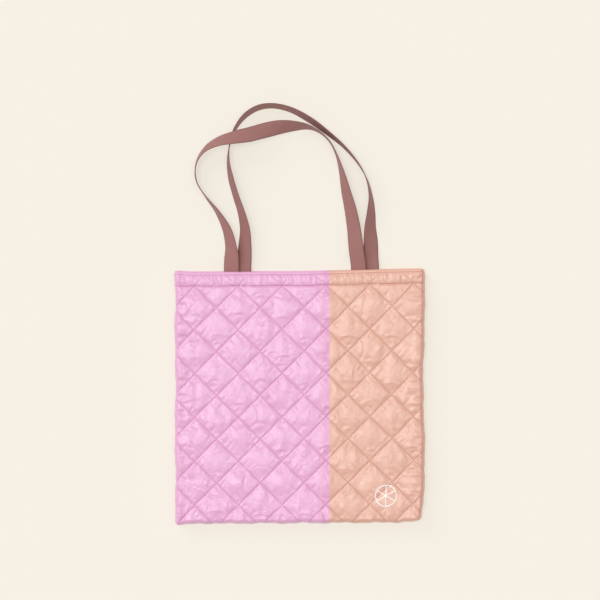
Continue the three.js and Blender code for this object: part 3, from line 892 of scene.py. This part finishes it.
def make_seam(node, lengthwise):
    """The bound raw edges of both panels, as a soft flat roll that waves a little."""
    low, high = (np.array(corner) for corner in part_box(node))
    across = 1 - lengthwise
    half = (high - low) / 2
    rng = np.random.default_rng(70 + len(node))
    count = int(2 * half[lengthwise] / BINDING_STEP)
    step = np.arange(count)[:, None]
    turn = 2 * math.pi * np.arange(BINDING_SIDES) / BINDING_SIDES
    end = np.minimum(1, 0.3 + 0.35 * np.minimum(step, count - 1 - step))
    squash = 0.86 + BINDING_WAVE * np.sin(BINDING_WAVE_RATE * step) * rng.uniform(0.3, 1, (count, 1))
    wide = half[across] * BINDING_WIDTH * rounded(np.cos(turn), 0.5) * (0.9 + 0.1 * end)
    height = half[2] * BINDING_HEIGHT * rounded(np.sin(turn), 0.7) * squash * end
    places = [None, None]
    places[across] = (low[across] + half[across] + wide).ravel()
    places[lengthwise] = np.linspace(low[lengthwise], high[lengthwise], count).repeat(BINDING_SIDES)
    roof = np.min([panel.room(*places) for panel in PANELS.values()], axis=0)
    roof = np.maximum(roof - BINDING_GAP, BINDING_EDGE)
    height = np.clip(height.ravel() + (low[2] + high[2]) / 2 - SEAM_Z, -roof, roof)
    points = np.stack([*lie(*places, 1), SEAM_Z + height], -1)
    faces = tube_faces(count, BINDING_SIDES)
    piece = mesh_object(node.replace("allowance", "binding"), points, faces, BINDING)
    place(piece, node)


# ---------- handles ----------
# The routes of the free webbing, as in the CAD model: x, y, height of the middle, and tilt in
# degrees, from the left end round to the right end. At 0 it lies flat, at 90 it stands on its
# outer edge, past 90 it leans outwards, and at -90 it stands on its inner edge.
FRONT_ROUTE = [
    (-0.112, 0.2078, 0.0178, 0),
    (-0.112, 0.215, 0.0172, 3),
    (-0.112, 0.227, 0.0155, 15),
    (-0.113, 0.247, 0.013, 40),
    (-0.1195, 0.275, 0.0124, 54),
    (-0.1355, 0.305, 0.0129, 73),
    (-0.1555, 0.331, 0.013, 87),
    (-0.169, 0.353, 0.013, 90),
    (-0.172, 0.374, 0.0132, 88),
    (-0.167, 0.393, 0.015, 82),
    (-0.153, 0.41, 0.022, 67),
    (-0.131, 0.421, 0.031, 49),
    (-0.107, 0.4265, 0.035, 31),
    (-0.082, 0.4315, 0.031, 12),
    (-0.057, 0.4385, 0.0245, -2),
    (-0.033, 0.444, 0.0195, -26),
    (-0.009, 0.446, 0.016, -51),
    (0.014, 0.4445, 0.014, -73),
    (0.033, 0.436, 0.0132, -86),
    (0.049, 0.421, 0.013, -89),
    (0.06, 0.4, 0.013, -86),
    (0.0685, 0.373, 0.013, -72),
    (0.076, 0.34, 0.013, -54),
    (0.084, 0.307, 0.013, -39),
    (0.0895, 0.275, 0.0145, -27),
    (0.093, 0.243, 0.0175, -11),
    (0.0968, 0.215, 0.0179, -2),
    (0.0968, 0.2078, 0.0178, 0),
]
BACK_ROUTE = [
    (-0.092, 0.2078, 0.0122, 0),
    (-0.092, 0.215, 0.0112, 3),
    (-0.0913, 0.227, 0.0092, 13),
    (-0.09, 0.25, 0.0096, 31),
    (-0.09, 0.276, 0.0116, 48),
    (-0.096, 0.304, 0.0124, 61),
    (-0.1055, 0.333, 0.0127, 66),
    (-0.1135, 0.362, 0.0129, 69),
    (-0.1175, 0.389, 0.013, 80),
    (-0.1155, 0.414, 0.013, 90),
    (-0.1075, 0.439, 0.013, 98),
    (-0.091, 0.462, 0.013, 106),
    (-0.069, 0.476, 0.013, 108),
    (-0.045, 0.4795, 0.013, 107),
    (-0.016, 0.4735, 0.013, 108),
    (0.017, 0.456, 0.013, 111),
    (0.049, 0.4325, 0.013, 105),
    (0.075, 0.41, 0.013, 98),
    (0.098, 0.382, 0.013, 92),
    (0.111, 0.357, 0.013, 85),
    (0.117, 0.33, 0.0128, 73),
    (0.1175, 0.305, 0.012, 56),
    (0.116, 0.28, 0.0098, 40),
    (0.117, 0.254, 0.0066, 19),
    (0.1173, 0.23, 0.0072, 8),
    (0.118, 0.215, 0.0108, 2),
    (0.118, 0.2078, 0.0122, 0),
]
SECTION_STEPS = 12  # samples between two points of a route
TAIL_STEPS = 10
SELVEDGE_THINNER = 0.75


def spline(points, spacing):
    """A Catmull-Rom curve through points, with a power of the distance as spacing, and its slopes."""
    points = np.array(points, float)
    points = np.vstack([2 * points[0] - points[1], points, 2 * points[-1] - points[-2]])
    places = []
    slopes = []
    for k in range(1, len(points) - 2):
        p0, p1, p2, p3 = points[k - 1:k + 3]
        d0, d1, d2 = (np.linalg.norm(b - a) ** spacing for a, b in ((p0, p1), (p1, p2), (p2, p3)))
        m1 = ((p1 - p0) / d0 - (p2 - p0) / (d0 + d1) + (p2 - p1) / d1) * d1
        m2 = ((p2 - p1) / d1 - (p3 - p1) / (d1 + d2) + (p3 - p2) / d2) * d1
        last = k == len(points) - 3
        for t in np.linspace(0, 1, SECTION_STEPS + (1 if last else 0), endpoint=last):
            c2 = 3 * (p2 - p1) - 2 * m1 - m2
            c3 = 2 * (p1 - p2) + m1 + m2
            places.append(p1 + m1 * t + c2 * t * t + c3 * t ** 3)
            slopes.append(m1 + 2 * c2 * t + 3 * c3 * t * t)
    return np.array(places), np.array(slopes)


def webbing_section():
    """Outline of the webbing, with rounded selvedges: across, out of the face, and UV across."""
    face = []
    for s in np.linspace(-1, 1, 11):
        out = STRAP_THICK / 2 * (1 - SELVEDGE_THINNER * abs(s) ** 14)
        face.append((STRAP_WIDTH / 2 * s, out, 0.5 + 0.5 * s))
    return face + [(a, -b, v) for a, b, v in reversed(face)]


def add_tails(rows):
    """Repeats the first and the last row, for the webbing that is sewn down."""
    return np.pad(rows, ((TAIL_STEPS, TAIL_STEPS), (0, 0)), mode="edge")


def make_handle(name, route):
    places, slopes = spline([point[:3] for point in route], 0.5)
    tilt = np.radians(spline([point[3:] for point in route], 0)[0])
    along = unit(slopes)
    right = unit(np.cross(along, (0, 0, 1)))
    across = right * np.cos(tilt) + np.cross(right, along) * np.sin(tilt)
    places, along, across = (add_tails(rows) for rows in (places, along, across))
    tail = np.linspace(TAIL_END, places[0][1], TAIL_STEPS, endpoint=False)
    places[:TAIL_STEPS, 1] = tail
    places[-TAIL_STEPS:, 1] = tail[::-1]
    normal = np.cross(across, along)
    run = np.concatenate([[0], np.cumsum(np.linalg.norm(np.diff(places, axis=0), axis=1))])
    section = webbing_section()
    points = []
    uvs = []
    for a, out, v in section:
        points.append(places + across * a + normal * out)
        uvs.append(np.stack([run, np.full(len(run), v)], 1))
    sides = len(section)
    points = np.stack(points, 1).reshape(-1, 3)
    uvs = np.stack(uvs, 1).reshape(-1, 2)
    faces = tube_faces(len(places), sides, flip=True)
    piece = mesh_object(f"{name}_handle_webbing", points, faces, WEBBING, uvs)
    add_end_caps(piece, len(places), sides)
    nodes = [f"{name}_handle", f"{name}_handle_left_end", f"{name}_handle_right_end"]
    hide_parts(*nodes)
    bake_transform(piece)


def add_end_caps(piece, count, sides):
    """Closes both cut ends of the webbing."""
    mesh = bmesh.new()
    mesh.from_mesh(piece.data)
    mesh.verts.ensure_lookup_table()
    for start in (0, (count - 1) * sides):
        mesh.faces.new([mesh.verts[start + k] for k in range(sides)])
    bmesh.ops.recalc_face_normals(mesh, faces=mesh.faces)
    mesh.to_mesh(piece.data)
    mesh.free()


BOX_INSET = 0.0004
BOX_LIFT = 0.0003
BOX_STEP = 0.0027
BOX_STITCH = (0.0023, 0.0003)  # length and radius


def make_box_stitch(name, hand):
    """The crossed square of stitches that holds one end of a handle."""
    node = f"{name}_handle_{hand}_box_stitch"
    low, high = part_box(node)
    side = 1 if name == "front" else -1
    z = low[2] if side > 0 else high[2]
    left, right = low[0] + BOX_INSET, high[0] - BOX_INSET
    bottom, top = low[1] + BOX_INSET, high[1] - BOX_INSET
    corners = [(left, bottom), (right, bottom), (right, top), (left, top)]
    lines = [(corners[k], corners[(k + 1) % 4]) for k in range(4)]
    lines += [(corners[0], corners[2]), (corners[1], corners[3])]
    places, ways = along_lines(lines, BOX_STEP)
    centres = np.insert(places, 2, z + side * BOX_LIFT, axis=1)
    along = np.insert(ways, 2, 0, axis=1)
    normals = np.tile([0.0, 0.0, -side], (len(places), 1))
    piece = stitches(f"{name}_{hand}_crossed_square", centres, along, normals, *BOX_STITCH, STRAP_THREAD)
    place(piece, node)


# ---------- printed mark ----------
MARK_LINE = 0.0016
MARK_LIFT = 0.00012
MARK_ARMS = 6


def make_mark(panel):
    """A ring round a six-armed star, printed on the cloth and following its folds."""
    low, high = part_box("printed_mark")
    radius = (high[0] - low[0]) / 2
    x0, y0, _ = middle("printed_mark")
    points = []
    faces = []

    def strip(rows):
        faces.extend((grid_faces(len(rows), len(rows[0])) + len(points)).tolist())
        for row in rows:
            points.extend(row)

    def way(turn):
        return np.array([math.cos(turn), math.sin(turn)])

    centre = np.array([x0, y0])
    rings = (radius, radius - MARK_LINE / 2, radius - MARK_LINE)
    strip([[centre + r * way(turn) for r in rings] for turn in np.linspace(0, 2 * math.pi, 145)])
    hub = MARK_LINE * math.cos(math.pi / MARK_ARMS)  # here along an arm it meets its neighbours
    for arm in range(MARK_ARMS):
        out = way(math.pi / 2 + arm * 2 * math.pi / MARK_ARMS)
        side = np.array([-out[1], out[0]]) * MARK_LINE / 2
        middles = [centre + out * r for r in np.linspace(hub, radius - MARK_LINE, 14)]
        strip([[m + side, m, m - side] for m in middles])
        faces.append(list(range(len(points), len(points) + 4)))
        points.extend([centre, middles[0] + side, middles[0], middles[0] - side])
    flat = np.array(points)
    cloth, normals = panel.at(flat[:, 0], flat[:, 1])
    piece = mesh_object("printed_star", cloth + normals * MARK_LIFT, faces, PRINT)
    place(piece, "printed_mark")


# ---------- the bag ----------
PANELS = {"back": Panel(-1, 11), "front": Panel(1, 7)}
for panel_name, cloth_panel in PANELS.items():
    make_shell(cloth_panel, panel_name)
    make_facing(cloth_panel, panel_name)
    make_layers(cloth_panel, panel_name)
    make_stitching(cloth_panel, panel_name)
    for hand_name in ("left", "right"):
        make_box_stitch(panel_name, hand_name)
make_seam("left_seam_allowance", 1)
make_seam("right_seam_allowance", 1)
make_seam("bottom_seam_allowance", 0)
make_mark(PANELS["front"])
make_handle("front", FRONT_ROUTE)
make_handle("back", BACK_ROUTE)

# ---------- floor, light, camera ----------
FLOOR_SIZE = 8.0
FLOOR_COLOR = linear(246, 240, 228)
FLOOR_GLOW = 0.7  # share of the floor's brightness that is its own, as on a lit table
WORLD_LIGHT = 0.48
SUNS = [  # direction from the bag towards the light, share of the light on a level surface, softness
    ((-0.25, 0.08, 0.96), 0.27, 13),
    ((0.27, 0.02, 0.96), 0.11, 13),
    ((-0.60, 0.58, 0.55), 0.16, 35),
]
VIEW_CENTRE = (0.0005, 0.160)
VIEW_WIDTH = 0.984
LENS = 200
SENSOR = 36


def make_floor():
    s = Shader("paper_floor")
    grain = s.noise(s.coords(), 40, 3.0)
    dim = tuple((1 - FLOOR_GLOW) * c for c in FLOOR_COLOR[:3]) + (1,)
    values = {"Emission Color": FLOOR_COLOR, "Emission Strength": FLOOR_GLOW, "Specular IOR Level": 0.1}
    material = s.finish(dim, s.bump(grain, 0.0001), Roughness=0.95, **values)
    half = FLOOR_SIZE / 2
    corners = [(-half, -half, 0), (half, -half, 0), (half, half, 0), (-half, half, 0)]
    mesh_object("floor", corners, [[0, 1, 2, 3]], material)


def make_lights():
    world = bpy.data.worlds.new("studio")
    bpy.context.scene.world = world
    world.use_nodes = True
    background = world.node_tree.nodes["Background"].inputs
    background["Color"].default_value = (1, 1, 1, 1)
    background["Strength"].default_value = WORLD_LIGHT
    for number, (towards, share, softness) in enumerate(SUNS):
        length = math.sqrt(sum(c * c for c in towards))
        data = bpy.data.lights.new(f"soft_light_{number}", "SUN")
        data.energy = share * math.pi * length / towards[2]
        data.angle = math.radians(softness)
        light = bpy.data.objects.new(data.name, data)
        bpy.context.collection.objects.link(light)
        lean = math.acos(towards[2] / length)
        light.rotation_euler = (0, lean, math.atan2(towards[1], towards[0]))


def make_camera():
    data = bpy.data.cameras.new("camera")
    data.lens = LENS
    data.sensor_width = SENSOR
    camera = bpy.data.objects.new("camera", data)
    bpy.context.collection.objects.link(camera)
    distance = VIEW_WIDTH * LENS / SENSOR
    camera.location = (VIEW_CENTRE[0], VIEW_CENTRE[1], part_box("front_shell_pink")[1][2] + distance)
    bpy.context.scene.camera = camera


make_floor()
make_lights()
make_camera()
bpy.context.scene.view_settings.view_transform = "Standard"
